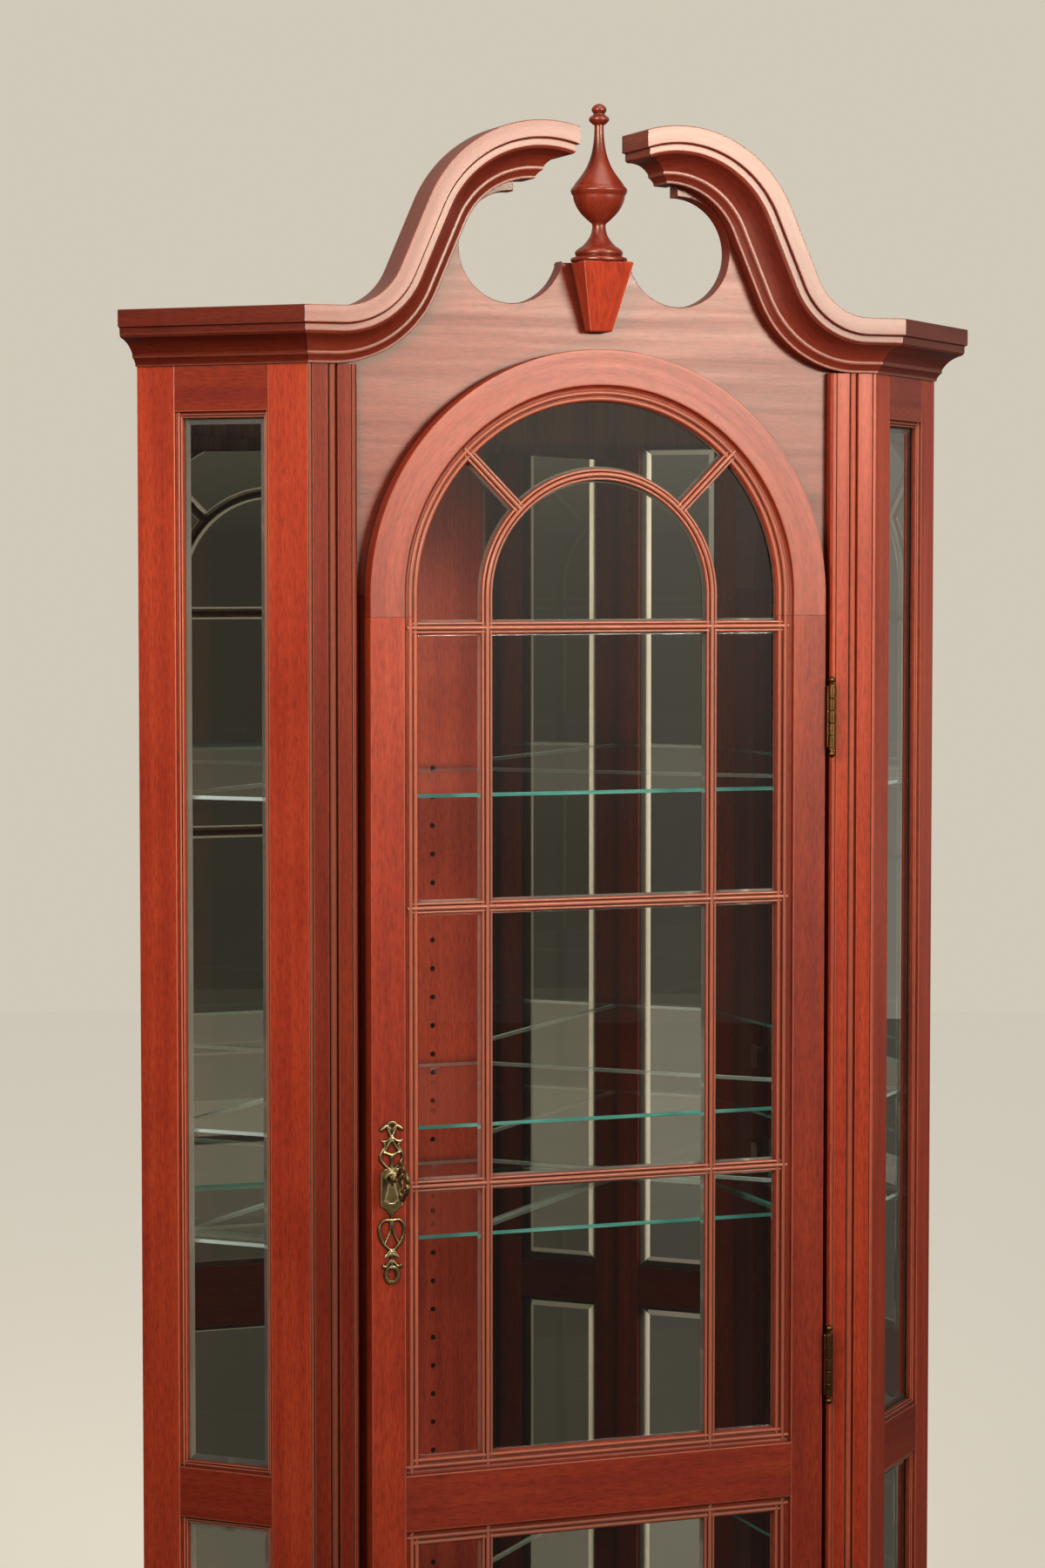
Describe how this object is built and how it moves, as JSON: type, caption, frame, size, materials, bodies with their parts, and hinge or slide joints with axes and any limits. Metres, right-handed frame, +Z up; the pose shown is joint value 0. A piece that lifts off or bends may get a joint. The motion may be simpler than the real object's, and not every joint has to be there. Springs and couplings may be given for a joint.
{
  "type": "corner curio cabinet",
  "caption": "Tall corner display cabinet with arched glazed door, canted glass sides, mirrored back, glass shelves and a swan neck pediment.",
  "frame": {"origin": "on the floor, under the middle of the cabinet's width and of its length from key to back board", "axes": "+Z up, front faces -Y, +X to the right seen from the front"},
  "size_m": [0.9228, 0.5582, 1.9636],
  "materials": {
    "cherry": "satin lacquered red cherry",
    "back_panel_wood": "plain stained panel",
    "bevelled_glass": "clear, polished bevel",
    "door_glass": "clear float glass",
    "shelf_glass": "clear float glass with green edges",
    "mirror": "plain silvered mirror",
    "antique_brass": "aged, rubbed on the high places",
    "lock_steel": "dull plated steel"
  },
  "bodies": {
    "cabinet": {"side_stile_front_left": "cherry", "side_stile_back_left": "cherry", "side_rail_top_left": "cherry", "side_rail_mid_left": "cherry", "side_rail_bottom_left": "cherry", "pilaster_left": "cherry", "face_stile_left": "cherry", "swan_neck_left": "cherry", "side_cornice_left": "cherry", "plinth_left": "cherry", "side_glass_upper_left": "bevelled_glass", "side_glass_lower_left": "bevelled_glass", "back_panel_left": "back_panel_wood", "mirror_left": "mirror", "side_stile_front_right": "cherry", "side_stile_back_right": "cherry", "side_rail_top_right": "cherry", "side_rail_mid_right": "cherry", "side_rail_bottom_right": "cherry", "pilaster_right": "cherry", "face_stile_right": "cherry", "swan_neck_right": "cherry", "side_cornice_right": "cherry", "plinth_right": "cherry", "side_glass_upper_right": "bevelled_glass", "side_glass_lower_right": "bevelled_glass", "back_panel_right": "back_panel_wood", "mirror_right": "mirror", "tympanum": "cherry", "keystone": "cherry", "finial": "cherry", "back_board": "cherry", "bottom_deck": "cherry", "plinth_front": "cherry", "dust_top": "back_panel_wood", "rear_foot": "back_panel_wood", "glass_shelf_1": "shelf_glass", "glass_shelf_2": "shelf_glass", "glass_shelf_3": "shelf_glass", "glass_shelf_4": "shelf_glass", "hinge_leaf_frame_1": "antique_brass", "hinge_leaf_frame_2": "antique_brass", "hinge_leaf_frame_3": "antique_brass"},
    "door": {"door_stile_hinge": "cherry", "door_stile_lock": "cherry", "door_arch_rail": "cherry", "door_mid_rail": "cherry", "door_bottom_rail": "cherry", "upper_grille": "cherry", "lower_muntin_left": "cherry", "lower_muntin_right": "cherry", "door_glass_upper": "door_glass", "door_glass_lower": "door_glass", "escutcheon": "antique_brass", "lock_case": "lock_steel", "hinge_leaf_door_1": "antique_brass", "hinge_leaf_door_2": "antique_brass", "hinge_leaf_door_3": "antique_brass"},
    "key": {"key": "antique_brass", "lock_pawl": "lock_steel"}
  },
  "joints": [
    {"name": "door_hinge", "type": "hinge", "parent": "cabinet", "child": "door", "pos_m": [0.2477, -0.24415, 0.8], "axis": [0, 0, 1], "range_deg": [0, 115]},
    {"name": "key_turn", "type": "hinge", "parent": "door", "child": "key", "pos_m": [-0.2226, -0.23075, 0.9138], "axis": [0, 1, 0], "range_deg": [0, 90]}
  ]
}
